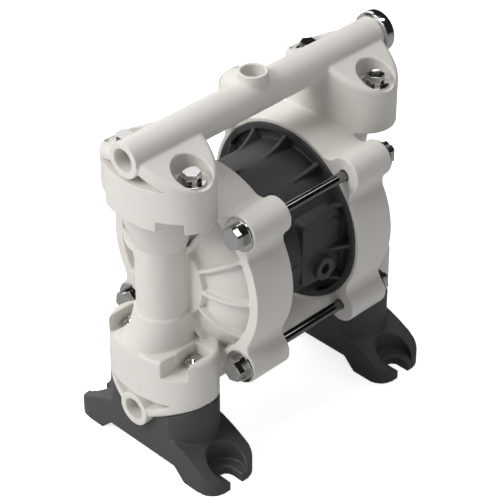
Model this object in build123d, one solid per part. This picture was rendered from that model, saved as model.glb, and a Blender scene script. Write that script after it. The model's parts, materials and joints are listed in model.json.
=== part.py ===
from build123d import *
import math
import os

# Air operated double diaphragm pump, in millimetres.
# +X runs along the diaphragm shaft, +Z is up, and the floor under the feet is z = 0.
# The origin is on the floor, under the middle of the shaft.

# Main layout
shaft_z = 122.5            # shaft axis above the floor
outlet_z = 217.6           # axis of the discharge manifold's tube
inlet_z = 39.6             # axis of the suction manifold's tube
column_x = 76.0            # valve columns, either side of the middle
bolt_y = 27.7              # manifold and foot bolts, either side of a column
rod_angle = 45.2           # degrees of each tie bolt from the vertical, seen along the shaft
joint_rise = 62.0          # flange joints, above and below the mid-height
mid_z = (outlet_z + inlet_z) / 2

# Manifolds
tube_radius = 11.25
tube_bore = 6.5
port_bore = 7.15           # tapping size of a 3/8 inch pipe thread
port_depth = 15.0
boss_port_depth = 8.5      # the ports in the top boss and the side boss
boss_bore = 4.4
top_boss_radius = 9.2
top_boss_rise = 16.1       # top port's face above the tube axis
side_boss_radius = 11.0
side_boss_reach = 18.0
end_half_x = 26.2          # oval end bodies and flanges
end_half_y = 40.0
port_face_x = column_x + end_half_x
roof_slope = 25.0          # degrees
roof_peak_rise = 6.8       # where the two slopes would meet, above the tube axis
roof_edge_round = 3.5
pocket_radius = 11.7
pocket_floor_drop = 13.6   # bolt seat below the tube axis
recess_inset = 8.4         # floor of the recesses beside the end ports
recess_bottom_drop = 13.0
recess_top_drop = 6.8      # below the slope
recess_length = 27.0

# Fluid caps
cap_radius = 61.5
cap_inner_x = 28.0
cap_front_x = 57.8
cap_boss_radius = 11.5
cap_boss_fillet = 8.0
rod_overhang = 5.9         # tie bolts' centres beyond the edge of the cap's disc
rim_width = 6.9
crown_rise = 6.0           # flat middle of the domed wall, in front of the rim
crown_flat = 30.0          # radius of that flat middle
crown_round = 28.9         # radius of the dome's curve outside it
crown_wall = 4.0
crown_boss_radius = 26.0   # round boss that joins the dome to the column
cap_rib_thickness = 2.6
cap_rib_step = 30.0        # degrees
cap_rib_height = 4.3       # above the dome
chamber_radius = 46.0
column_radius = 15.6
neck_radius = 17.0
neck_lip_rise = 24.4       # necks' lips, above and below the mid-height
neck_half_y = 18.5
neck_inset = 0.5           # inside the flange's oval
upper_flange = 13.0
lower_flange = 17.7
flange_round = 2.5         # upper edge of the lower flange
joint_clearance = 0.5      # disc to the oval body below the flange
column_bore = 9.0
window_half_y = 7.0
window_half_z = 14.0
slot_root = 6.0            # flange left between the joint and the nut
slot_half_y = 6.75
slot_past_bolt = 7.0
slot_tab_x = 9.6           # small rib on the slot's inner wall, from the column's axis
slot_tab = 1.1
rod_circle = cap_radius + rod_overhang
rod_y = rod_circle * math.sin(math.radians(rod_angle))
rod_dz = rod_circle * math.cos(math.radians(rod_angle))
rim_inner_radius = cap_radius - rim_width

# Ball valves
ball_radius = 8.0
ball_lift = 4.0
ball_room = 10.0           # radius of the chamber round a ball
ball_gap = 0.15            # ball above its seat at rest, and below its stop when lifted
stop_bore = 6.0
stop_slot = 4.0
stop_length = 4.5
seat_radius = 12.0
seat_thickness = 4.0
seat_bore = 5.5
seat_mouth = 7.2
seal_section = 0.9         # section radius of the seat's ring
seal_ring = 10.9
seal_room = 2.0

# Centre body
drum_radius = 46.8
rim_cover = 3.0            # cap's wall outside the drum's flange
flange_radius = cap_radius - rim_cover
flange_lip_x = 27.0
flange_back_x = 35.0
lip_width = 3.9
lip_inner_radius = flange_radius - lip_width
recess_floor_x = 31.0
drum_rib_thickness = 2.6
drum_rib_run = 20.0
drum_rib_hollow = 0.9
drum_rib_step = 30.0
air_dish_radius = 42.0
air_dish_x = 24.0
hub_radius = 15.0
cavity_radius = 41.0
cavity_half_x = 18.0
panel_y = 47.8
panel_x0, panel_x1 = -6.0, 25.0
panel_z0, panel_z1 = 104.0, 149.0
vent_x, vent_z = 9.4, 113.8
vent_boss_radius = 7.6
vent_bore = 3.4
vent_face_y = 52.6
vent_depth = 9.0
vent_inner_bore = 1.5
plain_boss_x, plain_boss_z = 19.0, 138.0
plain_boss_radius = 6.0

# Diaphragms, shaft and plates
shaft_radius = 6.0
stud_radius = 4.0
stroke = 6.0               # either way from the middle
diaphragm_thickness = 3.0
diaphragm_inset = 0.7      # disc inside the drum's flange
diaphragm_radius = flange_radius - diaphragm_inset
inner_plate_radius = 32.0
inner_plate_thickness = 4.0
outer_plate_radius = 30.0
outer_plate_thickness = 3.6
outer_hub_radius = 12.0
outer_hub_length = 10.0
stud_end = 6.0             # stud beyond the diaphragm
bush_radius = 9.0
bush_length = 12.0
seal_length = 3.0
seal_outer = 8.2
running_gap = 0.05

# Pilot rod
pilot_radius = 3.0
pilot_y, pilot_dz = 20.0, 14.0
pilot_bush_radius = 5.0
pilot_bush_length = 6.0
pilot_ratio = 0.5          # pilot travel for each unit of shaft travel
pilot_gap = 0.3

# Air valve, on the far side of the centre body
valve_z = 112.0
valve_half_x = 20.0
valve_half_z = 24.0
valve_pad_y = 50.0
pad_margin = 2.0
gasket_thickness = 0.8
valve_depth = 22.0
spool_y = 61.0
spool_bore = 7.0
spool_length = 30.0
spool_travel = 8.0
land_width = 6.0
spool_waist = 4.4
spool_gap = 0.05
end_cap_thickness = 4.0
end_cap_radius = 9.6
end_cap_screw_step = 12.0
inlet_bore = 5.55          # tapping size of a 1/4 inch pipe thread
inlet_depth = 10.0
inlet_boss_radius = 9.0
inlet_boss_length = 5.0
inlet_dz = 13.0
muffler_radius = 9.0
muffler_length = 42.0
muffler_thread = 5.4
muffler_thread_length = 8.0
valve_screw_dx, valve_screw_dz = 15.5, 19.5

# Feet
foot_half_x = 20.6
foot_end_y = 62.0
foot_end_height = 8.6
foot_end_round = 12.0
foot_shoulder_y = 29.0
foot_shoulder_z = 26.5
foot_bulge_y, foot_bulge_z = 47.5, 18.3
arch_foot_y = 37.0
arch_top_y = 28.5
arch_height = 8.3
slot_radius = 4.7
slot_inner_y = 48.5
scoop_radius = 12.0
scoop_floor = 6.3
saddle_gap = 0.2
foot_bolt_seat = 16.5
foot_access_radius = 8.5

# Fasteners
bolt_radius = 3.0
bolt_hole = 3.3
head_flats = 10.0
head_height = 6.0
washer_radius = 8.6
washer_thickness = 1.6
square_nut = 10.0
square_nut_thickness = 5.0
thread_gap = 0.05
bolt_past_nut = 3.0
rod_radius = 3.175
rod_hole = 3.5
rod_head_flats = 13.0
rod_head_height = 6.5
rod_washer_radius = 10.5
rod_thread_end = 4.0
small_screw_radius = 1.9
small_head_radius = 3.4
small_head_height = 2.4
small_screw_length = 12.0
plug_head_radius = 13.6
plug_head_length = 7.4
plug_socket_flats = 8.0
plug_socket_depth = 5.0
side_plug_head = 2.0

sides = {"left": -1, "right": 1}


def bar_x(radius, x0, x1, y=0.0, z=0.0):
    """Round bar along X."""
    return Pos((x0 + x1) / 2, y, z) * Rot(0, 90, 0) * Cylinder(radius, abs(x1 - x0))


def bar_y(radius, y0, y1, x=0.0, z=0.0):
    """Round bar along Y."""
    return Pos(x, (y0 + y1) / 2, z) * Rot(90, 0, 0) * Cylinder(radius, abs(y1 - y0))


def bar_z(radius, z0, z1, x=0.0, y=0.0):
    """Round bar along Z."""
    return Pos(x, y, (z0 + z1) / 2) * Cylinder(radius, abs(z1 - z0))


def block(x0, x1, y0, y1, z0, z1):
    """Rectangular block between two corners."""
    centre = Pos((x0 + x1) / 2, (y0 + y1) / 2, (z0 + z1) / 2)
    return centre * Box(abs(x1 - x0), abs(y1 - y0), abs(z1 - z0))


def prism_x(points, x0, x1):
    """Prism along X: points are (y, z)."""
    face = Plane.YZ * Polygon(*points, align=None)
    return Pos(min(x0, x1), 0, 0) * extrude(face, abs(x1 - x0), dir=(1, 0, 0))


def oval_z(half_x, half_y, z0, z1, x=0.0):
    """Upright oval prism."""
    return Pos(x, 0, z0) * extrude(Ellipse(half_x, half_y), z1 - z0)


def hexagon(flats, length):
    """Hexagonal prism on the XY plane, with its top edge chamfered by its own round cone."""
    prism = extrude(RegularPolygon(flats / 2, 6, major_radius=False), length)
    corner = flats / math.sqrt(3)
    cone = Pos(0, 0, length / 2) * Cone(corner + length * 0.7, corner - 0.25, length)
    return prism & cone


def lie_along_x(shape, x, y, z, direction=1):
    """Turn a shape that stands on the XY plane so that it points along +X or -X."""
    return Pos(x, y, z) * Rot(0, 90 * direction, 0) * shape


def turn_over(shape):
    """Turn a shape about the X line at mid-height, which swaps the two manifolds."""
    return Pos(0, 0, mid_z) * Rot(180, 0, 0) * Pos(0, 0, -mid_z) * shape


def both_bolts():
    """The four places of the manifold bolts."""
    return [(sx * column_x, sy * bolt_y) for sx in (-1, 1) for sy in (-1, 1)]


def rod_places():
    """The four places of the tie bolts."""
    return [(sy * rod_y, shaft_z + sz * rod_dz) for sy in (-1, 1) for sz in (-1, 1)]


def tube_of(outer, inner, length):
    """Ring that stands on the XY plane."""
    return extrude(Circle(outer) - Circle(inner), length)


def group(shapes):
    """Separate solids that share one node."""
    return Compound([solid for shape in shapes for solid in shape.solids()])


# Heights of the ball valves, worked out from the flange joints
joint_top = mid_z + joint_rise
joint_bottom = mid_z - joint_rise
seat_tangent = ball_radius * math.sin(math.radians(45))
ball_on_seat = seat_tangent - (seat_mouth - seat_tangent) + ball_gap
suction_seat_top = joint_bottom - seal_room
discharge_seat_top = joint_top - seal_room
suction_ball_z = suction_seat_top + ball_on_seat
discharge_ball_z = discharge_seat_top + ball_on_seat
suction_stop_z = suction_ball_z + ball_lift + ball_radius + ball_gap
discharge_stop_z = discharge_ball_z + ball_lift + ball_radius + ball_gap

# Places along X on the +X side, worked out from the drum's flange
diaphragm_x0 = flange_back_x
diaphragm_x1 = diaphragm_x0 + diaphragm_thickness
inner_plate_x0 = diaphragm_x0 - inner_plate_thickness
outer_plate_x1 = diaphragm_x1 + outer_plate_thickness
rod_seat_x = cap_front_x + washer_thickness
crown_face_x = cap_front_x + crown_rise
crown_centre_x = crown_face_x - crown_round
lower_back = joint_bottom + lower_flange
upper_back = joint_top - upper_flange
slope_tangent = math.tan(math.radians(roof_slope))


def roof_height(y, drop=0.0):
    """Height of the manifold's sloping top at a distance y from its tube."""
    return outlet_z + roof_peak_rise - drop - slope_tangent * abs(y)


def roof_prism(x0, x1, base_z, grow=0.0):
    """Prism along X under the two slopes, lifted by grow."""
    reach = end_half_y + 10
    points = [
        (-reach, base_z),
        (-reach, roof_height(reach, -grow)),
        (0, roof_height(0, -grow)),
        (reach, roof_height(reach, -grow)),
        (reach, base_z),
    ]
    return prism_x(points, x0, x1)


def stop_passage(z0, z1, x):
    """Round hole with four slots, whose lands stop a lifted ball but let the fluid past."""
    hole = bar_z(stop_bore, z0, z1, x)
    reach = column_bore
    hole += block(x - reach, x + reach, -stop_slot / 2, stop_slot / 2, z0, z1)
    hole += block(x - stop_slot / 2, x + stop_slot / 2, -reach, reach, z0, z1)
    return hole


def port_recess(side_x, side_y):
    """Flat-floored recess beside an end port: the oval wall runs out of it by itself."""
    points = [
        (0, outlet_z - recess_bottom_drop),
        (recess_length, outlet_z - recess_bottom_drop),
        (recess_length, roof_height(recess_length, recess_top_drop)),
        (0, roof_height(0, recess_top_drop)),
    ]
    start = port_face_x - recess_inset
    points = [(side_y * y, z) for y, z in points]
    return prism_x(points, side_x * start, side_x * (port_face_x + 1))


def make_manifold_bodies():
    """The two oval end bodies with their rounded sloping tops."""
    bodies = Part()
    for side in (-1, 1):
        x = side * column_x
        body = oval_z(end_half_x, end_half_y, joint_top, outlet_z + top_boss_rise, x)
        body &= roof_prism(x - end_half_x - 1, x + end_half_x + 1, joint_top - 1)
        crown = body.faces().filter_by(Axis.Z, reverse=True).sort_by(Axis.Z)[-2:]
        rim = [edge for face in crown for edge in face.edges()]
        rim = [edge for edge in rim if edge.geom_type != GeomType.LINE]
        body = fillet(rim, roof_edge_round)
        for side_y in (-1, 1):
            body -= port_recess(side, side_y)
        bodies += body
    return bodies


def make_manifold():
    """Tube with its end bodies, boss ports and bolt pockets, as the top one lies."""
    boss_top = outlet_z + top_boss_rise
    body = make_manifold_bodies()
    body += bar_x(tube_radius, -port_face_x, port_face_x, 0, outlet_z)
    body += bar_z(top_boss_radius, outlet_z, boss_top)
    body += bar_y(side_boss_radius, 0, side_boss_reach, 0, outlet_z)
    body -= bar_x(tube_bore, -port_face_x, port_face_x, 0, outlet_z)
    body -= bar_z(boss_bore, outlet_z, boss_top)
    body -= bar_y(boss_bore, 0, side_boss_reach, 0, outlet_z)
    body -= bar_z(port_bore, boss_top - boss_port_depth, boss_top)
    body -= bar_y(port_bore, side_boss_reach - boss_port_depth, side_boss_reach, 0, outlet_z)
    for side in (-1, 1):
        face = side * port_face_x
        body -= bar_x(port_bore, face - side * port_depth, face, 0, outlet_z)
    for x, y in both_bolts():
        body -= bar_z(pocket_radius, outlet_z - pocket_floor_drop, boss_top, x, y)
        body -= bar_z(bolt_hole, joint_top, outlet_z, x, y)
    return body


def make_discharge_manifold():
    """Top manifold, with the room above each discharge ball."""
    body = make_manifold()
    for x in (-column_x, column_x):
        body -= bar_z(ball_room, joint_top, discharge_stop_z, x)
        body -= stop_passage(discharge_stop_z, outlet_z, x)
    return body


def seat_pocket(x, top):
    """Round pocket that a valve seat and its ring lie in."""
    return bar_z(seat_radius + 0.1, top - seat_thickness - seal_room, top, x)


def make_suction_manifold():
    """The same moulding turned over, with its valve seats in its upper face."""
    body = turn_over(make_manifold())
    for x in (-column_x, column_x):
        body -= seat_pocket(x, joint_bottom)
        body -= bar_z(seat_bore, inlet_z, joint_bottom, x)
    return body


def cap_profile():
    """Outline of a fluid cap: a disc with four bosses, blended."""
    outline = Circle(cap_radius)
    for y in (-rod_y, rod_y):
        for z in (-rod_dz, rod_dz):
            outline += Pos(y, z) * Circle(cap_boss_radius)
    return fillet(outline.vertices(), cap_boss_fillet)


def radial_plate(angle, edges, thickness):
    """Plate in the plane of the shaft, from edges drawn in X and distance from the shaft."""
    plate = extrude(Plane.XZ * make_face(edges), thickness / 2, both=True)
    return Pos(0, 0, shaft_z) * Rot(angle, 0, 0) * plate


def crown_x(distance, offset=0.0):
    """Where the domed wall stands along X, at a distance from the shaft outside its flat middle."""
    run = distance - crown_flat
    return crown_centre_x + math.sqrt((crown_round + offset) ** 2 - run**2)


def crown_section(outer, inner, offset=0.0):
    """Edges of the domed wall's section, from an outer to an inner distance from the shaft."""
    middle = (outer + crown_flat) / 2
    face_x = crown_face_x + offset
    curve = ThreePointArc(
        (crown_x(outer, offset), outer), (crown_x(middle, offset), middle), (face_x, crown_flat)
    )
    return [curve, Line((face_x, crown_flat), (face_x, inner))]


def turned(edges):
    """Solid turned about the shaft from edges drawn in X and distance from the shaft."""
    return Pos(0, 0, shaft_z) * revolve(make_face(edges), Axis.X, 360)


def make_chamber():
    """Pumping chamber in front of the +X diaphragm."""
    back = diaphragm_x1 - 1
    shoulder_x = crown_x(chamber_radius, -crown_wall)
    return turned([
        Line((back, 0), (back, chamber_radius)),
        Line((back, chamber_radius), (shoulder_x, chamber_radius)),
        *crown_section(chamber_radius, 0, -crown_wall),
        Line((crown_face_x - crown_wall, 0), (back, 0)),
    ])


def make_cap_disc():
    """Turned part of a cap: outer wall, rim and the domed wall inside it."""
    return turned([
        Line((cap_inner_x, 0), (cap_inner_x, cap_radius)),
        Line((cap_inner_x, cap_radius), (cap_front_x, cap_radius)),
        Line((cap_front_x, cap_radius), (cap_front_x, rim_inner_radius)),
        Line((cap_front_x, rim_inner_radius), (crown_x(rim_inner_radius), rim_inner_radius)),
        *crown_section(rim_inner_radius, 0),
        Line((crown_face_x, 0), (cap_inner_x, 0)),
    ])


def cap_rib_edges():
    """Outline of a rib that follows the dome from its round boss to the rim."""
    outer = rim_inner_radius + rim_width / 4
    inner = crown_boss_radius - 2
    root_x = crown_x(rim_inner_radius) - 1
    return [
        Line((root_x, inner), (root_x, outer)),
        Line((root_x, outer), (crown_x(outer, cap_rib_height), outer)),
        *crown_section(outer, inner, cap_rib_height),
        Line((crown_face_x + cap_rib_height, inner), (root_x, inner)),
    ]


def make_cap_front():
    """Ribbed front of a cap: disc, tie-bolt bosses, round boss and radial ribs."""
    bosses = extrude(Plane.YZ * cap_profile(), cap_front_x - cap_inner_x, dir=(1, 0, 0))
    bosses = Pos(cap_inner_x, 0, shaft_z) * bosses
    middle_radius = (cap_radius + rim_inner_radius) / 2
    bosses -= bar_x(middle_radius, cap_inner_x, cap_front_x, 0, shaft_z)
    body = make_cap_disc() + bosses
    for index in range(round(360 / cap_rib_step)):
        body += radial_plate(index * cap_rib_step, cap_rib_edges(), cap_rib_thickness)
    boss_face = crown_face_x + cap_rib_height
    return body + bar_x(crown_boss_radius, crown_face_x - 1, boss_face, 0, shaft_z)


def make_neck(flange_z, lip_z):
    """Flared neck that joins a column to its oval flange."""
    wide = Pos(column_x, 0, flange_z) * Ellipse(end_half_x - neck_inset, neck_half_y)
    narrow = Pos(column_x, 0, lip_z) * Circle(neck_radius)
    return loft([wide, narrow])


def nut_slot(y, root_z, back_z):
    """Slot for a square nut: open at the flange's back and front, with a small rib inside."""
    slot = block(
        column_x - slot_past_bolt,
        column_x + end_half_x + 1,
        y - slot_half_y,
        y + slot_half_y,
        root_z,
        back_z,
    )
    inner_y = y - math.copysign(slot_half_y, y)
    middle_z = (root_z + back_z) / 2
    tab_x = column_x + slot_tab_x
    return slot - block(
        tab_x - slot_tab / 2,
        tab_x + slot_tab / 2,
        inner_y - slot_tab,
        inner_y + slot_tab,
        middle_z,
        back_z,
    )


def make_fluid_cap():
    """Cap on the +X side: ribbed front, column, flanges and the ball valves' chambers."""
    body = make_cap_front()
    body += bar_z(column_radius, lower_back, upper_back, column_x)
    flange = oval_z(end_half_x, end_half_y, joint_bottom, lower_back, column_x)
    body += fillet(flange.faces().sort_by(Axis.Z)[-1].edges(), flange_round)
    body += oval_z(end_half_x, end_half_y, upper_back, joint_top, column_x)
    body += make_neck(lower_back, mid_z - neck_lip_rise)
    body += make_neck(upper_back, mid_z + neck_lip_rise)
    body -= oval_z(
        end_half_x + joint_clearance,
        end_half_y + joint_clearance,
        shaft_z - cap_radius - cap_boss_radius,
        joint_bottom,
        column_x,
    )
    body -= bar_x(flange_radius + 0.2, cap_inner_x - 1, diaphragm_x1, 0, shaft_z)
    body -= make_chamber()
    body -= bar_z(ball_room, joint_bottom, suction_stop_z, column_x)
    body -= stop_passage(suction_stop_z, suction_stop_z + stop_length, column_x)
    body -= bar_z(column_bore, suction_stop_z + stop_length, joint_top, column_x)
    body -= seat_pocket(column_x, joint_top)
    window_z = (shaft_z - window_half_z, shaft_z + window_half_z)
    window_x = crown_face_x - 2 * crown_wall
    body -= block(window_x, column_x, -window_half_y, window_half_y, *window_z)
    for y in (-bolt_y, bolt_y):
        body -= bar_z(bolt_hole, joint_bottom, lower_back, column_x, y)
        body -= bar_z(bolt_hole, upper_back, joint_top, column_x, y)
        body -= nut_slot(y, joint_bottom + slot_root, lower_back)
        body -= nut_slot(y, joint_top - slot_root, upper_back)
    for y, z in rod_places():
        body -= bar_x(rod_hole, cap_inner_x, cap_front_x, y, z)
    return body


def make_seat(top):
    """Valve seat on the +X side, with its cone mouth upwards."""
    depth = seat_mouth - seat_bore
    ring = bar_z(seat_radius, top - seat_thickness, top, column_x)
    ring -= bar_z(seat_bore, top - seat_thickness, top, column_x)
    mouth = Pos(column_x, 0, top - depth / 2) * Cone(seat_bore, seat_mouth, depth)
    return ring - mouth


def make_seat_seal(top):
    """Ring that lies on a seat and seals the flange joint."""
    return Pos(column_x, 0, top + seal_room / 2) * Torus(seal_ring, seal_section)


def drum_rib_edges(side):
    """Outline of a rib that runs from the drum's side up to the flange's lip in a hollow curve."""
    root = drum_radius - 3
    floor_x = side * (recess_floor_x + 1)
    foot = (side * (flange_lip_x - drum_rib_run), drum_radius)
    top = (side * flange_lip_x, lip_inner_radius)
    hollow = (
        side * (flange_lip_x - drum_rib_run / 2 + drum_rib_hollow),
        (drum_radius + lip_inner_radius) / 2 - drum_rib_hollow,
    )
    return [
        Line((foot[0], root), (floor_x, root)),
        Line((floor_x, root), (floor_x, lip_inner_radius + 1)),
        Line((floor_x, lip_inner_radius + 1), (top[0], lip_inner_radius + 1)),
        Line((top[0], lip_inner_radius + 1), top),
        ThreePointArc(top, hollow, foot),
        Line(foot, (foot[0], root)),
    ]


def make_centre_body():
    """Drum that carries the shaft, with a ribbed flange at each end."""
    body = bar_x(drum_radius, -recess_floor_x, recess_floor_x, 0, shaft_z)
    for side in (-1, 1):
        ring = bar_x(flange_radius, side * flange_lip_x, side * flange_back_x, 0, shaft_z)
        ring -= bar_x(lip_inner_radius, side * flange_lip_x, side * recess_floor_x, 0, shaft_z)
        body += ring
        for index in range(round(360 / drum_rib_step)):
            body += radial_plate(index * drum_rib_step, drum_rib_edges(side), drum_rib_thickness)
    panel = block(panel_x0, panel_x1, -panel_y, 0, panel_z0, panel_z1)
    body += fillet(panel.edges().filter_by(Axis.Y), 4)
    body += bar_y(vent_boss_radius, -vent_face_y, 0, vent_x, vent_z)
    body += bar_y(plain_boss_radius, -panel_y - 1, 0, plain_boss_x, plain_boss_z)
    pad_x = (-valve_half_x - pad_margin, valve_half_x + pad_margin)
    pad_z = (valve_z - valve_half_z - pad_margin, valve_z + valve_half_z + pad_margin)
    body -= block(*pad_x, valve_pad_y, flange_radius, *pad_z)
    body += block(*pad_x, 0, valve_pad_y, *pad_z)
    pilot_z = shaft_z + pilot_dz
    cavity = bar_x(cavity_radius, -cavity_half_x, cavity_half_x, 0, shaft_z)
    cavity -= bar_x(hub_radius, -cavity_half_x, cavity_half_x, 0, shaft_z)
    cavity -= bar_x(pilot_bush_radius + 3, -cavity_half_x, cavity_half_x, pilot_y, pilot_z)
    body -= cavity
    for side in (-1, 1):
        dish = bar_x(air_dish_radius, side * air_dish_x, side * flange_back_x, 0, shaft_z)
        body -= dish
        bush = (side * (air_dish_x - bush_length), side * air_dish_x)
        body -= bar_x(bush_radius, *bush, 0, shaft_z)
        seal_end = side * (air_dish_x - bush_length - seal_length - 0.2)
        body -= bar_x(seal_outer + 0.1, seal_end, bush[0], 0, shaft_z)
        sleeve = (side * (air_dish_x - pilot_bush_length), side * air_dish_x)
        body -= bar_x(pilot_bush_radius, *sleeve, pilot_y, pilot_z)
    body -= bar_x(shaft_radius + 0.4, -air_dish_x, air_dish_x, 0, shaft_z)
    body -= bar_x(pilot_radius + 0.4, -air_dish_x, air_dish_x, pilot_y, pilot_z)
    body -= bar_y(vent_bore, -vent_face_y, -vent_face_y + vent_depth, vent_x, vent_z)
    body -= bar_y(vent_inner_bore, -vent_face_y, -cavity_radius + 5, vent_x, vent_z)
    for side_x in (-1, 1):
        for side_z in (-1, 1):
            x = side_x * valve_screw_dx
            z = valve_z + side_z * valve_screw_dz
            body -= bar_y(small_screw_radius + thread_gap, valve_pad_y - 9, valve_pad_y, x, z)
    return body


def make_shaft():
    """Shaft with a stud at each end."""
    shaft = bar_x(shaft_radius, -inner_plate_x0, inner_plate_x0, 0, shaft_z)
    reach = diaphragm_x1 + stud_end
    return shaft + bar_x(stud_radius, -reach, reach, 0, shaft_z)


def make_inner_plate():
    """Air-side plate, with a rounded outer edge."""
    plate = bar_x(inner_plate_radius, inner_plate_x0, diaphragm_x0, 0, shaft_z)
    plate = fillet(plate.edges().filter_by(GeomType.CIRCLE).sort_by(Axis.X)[0], 1.5)
    return plate - bar_x(stud_radius + thread_gap, inner_plate_x0, diaphragm_x0, 0, shaft_z)


def make_outer_plate():
    """Fluid-side plate, with a closed hub that screws on the shaft's stud."""
    plate = bar_x(outer_plate_radius, diaphragm_x1, outer_plate_x1, 0, shaft_z)
    plate = fillet(plate.edges().filter_by(GeomType.CIRCLE).sort_by(Axis.X)[-1], 1.5)
    hub = bar_x(outer_hub_radius, diaphragm_x1, diaphragm_x1 + outer_hub_length, 0, shaft_z)
    hub = fillet(hub.edges().filter_by(GeomType.CIRCLE).sort_by(Axis.X)[-1], 3)
    hole_end = diaphragm_x1 + stud_end + 0.5
    return plate + hub - bar_x(stud_radius + thread_gap, diaphragm_x1, hole_end, 0, shaft_z)


def make_diaphragm():
    """Flexible disc with a hole for the shaft's stud."""
    disc = bar_x(diaphragm_radius, diaphragm_x0, diaphragm_x1, 0, shaft_z)
    return disc - bar_x(stud_radius + thread_gap, diaphragm_x0, diaphragm_x1, 0, shaft_z)


def make_shaft_bush():
    """Plain bearing of the shaft on the +X side."""
    bush = bar_x(bush_radius, air_dish_x - bush_length, air_dish_x, 0, shaft_z)
    bore = shaft_radius + running_gap
    return bush - bar_x(bore, air_dish_x - bush_length, air_dish_x, 0, shaft_z)


def make_shaft_seal():
    """Lip ring behind the shaft's bush."""
    end = air_dish_x - bush_length
    ring = bar_x(seal_outer, end - seal_length, end, 0, shaft_z)
    return ring - bar_x(shaft_radius + running_gap, end - seal_length, end, 0, shaft_z)


def make_pilot_bush():
    """Plain bearing of the pilot rod on the +X side."""
    z = shaft_z + pilot_dz
    ends = (air_dish_x - pilot_bush_length, air_dish_x)
    bush = bar_x(pilot_bush_radius, *ends, pilot_y, z)
    return bush - bar_x(pilot_radius + running_gap, *ends, pilot_y, z)


def make_pilot_rod():
    """Rod that the diaphragm plates push at each end of the stroke."""
    half = inner_plate_x0 - stroke * (1 - pilot_ratio) - pilot_gap
    rod = bar_x(pilot_radius, -half, half, pilot_y, shaft_z + pilot_dz)
    return chamfer(rod.edges().filter_by(GeomType.CIRCLE), 0.5)


def valve_span():
    """Where the valve body starts and ends along Y."""
    start = valve_pad_y + gasket_thickness
    return start, start + valve_depth


def valve_corners():
    """The four places of the screws that hold the valve body."""
    return [
        (sx * valve_screw_dx, valve_z + sz * valve_screw_dz) for sx in (-1, 1) for sz in (-1, 1)
    ]


def cap_screw_places():
    """Screw places on an end cap of the valve, one above and one below the spool."""
    return [(spool_y, valve_z + s * end_cap_screw_step) for s in (-1, 1)]


def make_valve_body():
    """Block with the spool's bore, the air inlet and the muffler's port."""
    y0, y1 = valve_span()
    z0, z1 = valve_z - valve_half_z, valve_z + valve_half_z
    body = block(-valve_half_x, valve_half_x, y0, y1, z0, z1)
    body = fillet(body.edges().filter_by(Axis.Y), 3)
    inlet_z_here = valve_z + inlet_dz
    body += bar_y(inlet_boss_radius, y1 - 1, y1 + inlet_boss_length, 0, inlet_z_here)
    inlet_end = y1 + inlet_boss_length
    body -= bar_y(inlet_bore, inlet_end - inlet_depth, inlet_end, 0, inlet_z_here)
    body -= bar_x(spool_bore, -valve_half_x, valve_half_x, spool_y, valve_z)
    body -= bar_y(2.5, spool_y, inlet_end - 1, 0, valve_z + spool_bore - 1.5)
    body -= bar_z(muffler_thread + thread_gap, z0, valve_z - spool_bore + 1, 0, spool_y)
    for x, z in valve_corners():
        body -= bar_y(small_screw_radius + 0.3, y0, y1, x, z)
    for side in (-1, 1):
        end = side * valve_half_x
        for y, z in cap_screw_places():
            body -= bar_x(small_screw_radius + thread_gap, end - side * 9, end, y, z)
    return body


def make_valve_gasket():
    """Flat seal between the valve body and the centre body's pad."""
    y0 = valve_pad_y
    z0, z1 = valve_z - valve_half_z, valve_z + valve_half_z
    sheet = block(-valve_half_x, valve_half_x, y0, y0 + gasket_thickness, z0, z1)
    sheet = fillet(sheet.edges().filter_by(Axis.Y), 3)
    for x, z in valve_corners():
        sheet -= bar_y(small_screw_radius + 0.3, y0, y0 + gasket_thickness, x, z)
    return sheet


def make_valve_spool():
    """Spool with three lands, at the -X end of its travel."""
    start = -(spool_length + spool_travel) / 2
    spool = bar_x(spool_waist, start, start + spool_length, spool_y, valve_z)
    for share in (0, 0.5, 1):
        x = start + share * (spool_length - land_width)
        spool += bar_x(spool_bore - spool_gap, x, x + land_width, spool_y, valve_z)
    return spool


def make_valve_end_cap():
    """Cover on the +X end of the spool's bore."""
    x0 = valve_half_x
    x1 = x0 + end_cap_thickness
    cover = bar_x(end_cap_radius, x0, x1, spool_y, valve_z)
    for y, z in cap_screw_places():
        cover += bar_x(4.2, x0, x1, y, z)
    cover += block(x0, x1, spool_y - 4.2, spool_y + 4.2, *[
        valve_z + s * end_cap_screw_step for s in (-1, 1)
    ])
    for y, z in cap_screw_places():
        cover -= bar_x(small_screw_radius + 0.3, x0, x1, y, z)
    return cover


def small_screw(length):
    """Small pan-head screw that points down, with its head on the XY plane."""
    head = Pos(0, 0, small_head_height / 2) * Cylinder(small_head_radius, small_head_height)
    head = fillet(head.edges().filter_by(GeomType.CIRCLE).sort_by(Axis.Z)[-1], 1.2)
    head -= Pos(0, 0, small_head_height - 0.6) * Box(0.9, 4.4, 1.4)
    head -= Pos(0, 0, small_head_height - 0.6) * Box(4.4, 0.9, 1.4)
    return head + Pos(0, 0, -length / 2) * Cylinder(small_screw_radius, length)


def make_muffler():
    """Exhaust muffler: threaded neck, plain collar and grooved body, pointing down."""
    top = valve_z - valve_half_z
    body = bar_z(muffler_radius, top - muffler_length, top, 0, spool_y)
    body = fillet(body.edges().filter_by(GeomType.CIRCLE).sort_by(Axis.Z)[0], 3)
    groove = Pos(0, 0, -0.75) * tube_of(muffler_radius + 1, muffler_radius - 1.2, 1.5)
    for index in range(9):
        body -= Pos(0, spool_y, top - 8 - 3.4 * index) * groove
    return body + bar_z(muffler_thread, top - 1, top + muffler_thread_length, 0, spool_y)


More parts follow.
